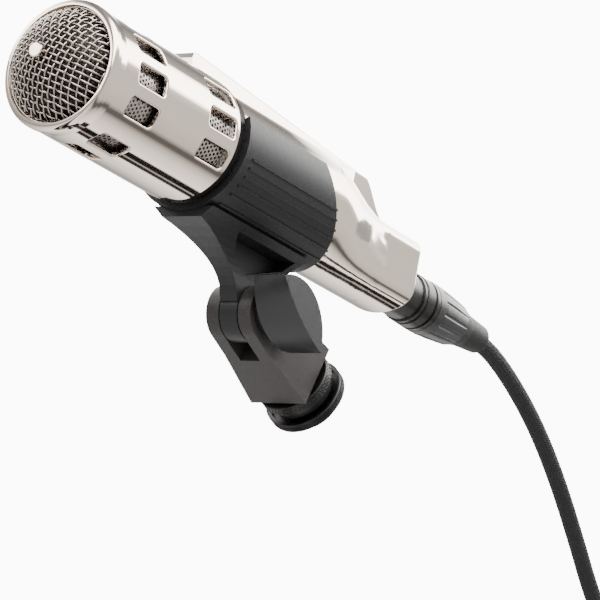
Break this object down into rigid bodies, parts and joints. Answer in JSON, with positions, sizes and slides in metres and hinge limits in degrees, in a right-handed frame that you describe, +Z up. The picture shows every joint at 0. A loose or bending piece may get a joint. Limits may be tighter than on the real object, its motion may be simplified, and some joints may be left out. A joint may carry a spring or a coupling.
{
  "type": "ribbon microphone",
  "caption": "Slim side-gripped ribbon microphone with slotted nickel head, woven front dome, swivel clip with clamp knob, stand thread, plug and coiled cable.",
  "frame": {"origin": "mouth of the stand thread, on its axis", "axes": "+Z up, +X from the microphone towards its cable end, +Y to the side away from the clamp knob"},
  "size_m": [0.4268, 0.0645, 0.4126],
  "materials": {
    "nickel": "polished, warm",
    "mesh_metal": "woven wire",
    "steel": "satin",
    "magnet": "plated",
    "aluminium": "satin",
    "brass": "machined",
    "felt": "felt",
    "rubber": "matte",
    "coil_plastic": "wound and taped",
    "board": "satin",
    "black_plastic": "matte",
    "yoke_paint": "fine texture",
    "dark_metal": "satin black",
    "silver_pins": "plated",
    "cable_jacket": "braided",
    "strap": "hook and loop"
  },
  "bodies": {
    "stand_mount": {"swivel_yoke": "yoke_paint", "friction_washers": "black_plastic", "pivot_bolt": "steel", "thread_bush": "dark_metal", "spacer_washer": "black_plastic"},
    "lock_ring_body": {"lock_ring": "dark_metal"},
    "knob": {"clamp_knob": "black_plastic", "knob_nut": "brass"},
    "clip": {"clip_cradle": "black_plastic"},
    "plug": {"plug_barrel": "dark_metal", "plug_sockets": "black_plastic", "plug_shell": "dark_metal", "plug_nut": "black_plastic", "plug_chuck": "black_plastic", "plug_boot": "rubber", "mic_cable": "cable_jacket", "cable_coil": "cable_jacket", "coil_tie": "strap", "tail_cable": "cable_jacket", "far_plug_boot": "rubber", "far_plug_shell": "dark_metal", "far_plug_insert": "black_plastic", "far_plug_pins": "silver_pins"},
    "latch": {"plug_latch": "black_plastic"},
    "microphone": {"acoustic_felt": "felt", "backing_dome": "mesh_metal", "board_posts": "brass", "body_shell": "nickel", "carrier_posts": "steel", "dome_retaining_ring": "steel", "dome_rivet": "nickel", "grille_dome": "mesh_metal", "head_shell": "nickel", "inner_screen": "mesh_metal", "magnets": "magnet", "motor_carrier": "aluminium", "neck_collar": "aluminium", "neck_ring": "rubber", "output_board": "board", "pole_pieces": "steel", "return_plate": "steel", "ribbon": "aluminium", "ribbon_clamp_screws": "steel", "ribbon_clamps": "brass", "shock_grommets": "rubber", "top_keel": "nickel", "transformer_bracket": "steel", "transformer_coil": "coil_plastic", "transformer_core": "steel", "xlr_insert": "black_plastic", "xlr_pins": "silver_pins", "xlr_set_screw": "steel"}
  },
  "joints": [
    {"name": "clip_tilt", "type": "hinge", "parent": "stand_mount", "child": "clip", "pos_m": [-0.04238, 0, 0.03347], "axis": [0, 1, 0], "range_deg": [-100, 25]},
    {"name": "clamp_knob_turn", "type": "hinge", "parent": "stand_mount", "child": "knob", "pos_m": [-0.04238, 0, 0.03347], "axis": [0, 1, 0], "range_deg": [-15, 540]},
    {"name": "lock_ring_turn", "type": "hinge", "parent": "stand_mount", "child": "lock_ring_body", "pos_m": [0, 0, 0], "axis": [0.7848, 0, -0.6198], "continuous": true},
    {"name": "microphone_slide", "type": "slide", "parent": "clip", "child": "microphone", "axis": [-0.9537, 0, 0.3007], "range_m": [0, 0.135]},
    {"name": "plug_pull", "type": "slide", "parent": "microphone", "child": "plug", "axis": [0.9537, 0, -0.3007], "range_m": [0, 0.02]},
    {"name": "latch_press", "type": "slide", "parent": "plug", "child": "latch", "axis": [-0.3007, 0, -0.9537], "range_m": [0, 0.0008], "stiffness_N_per_m": 2500}
  ]
}
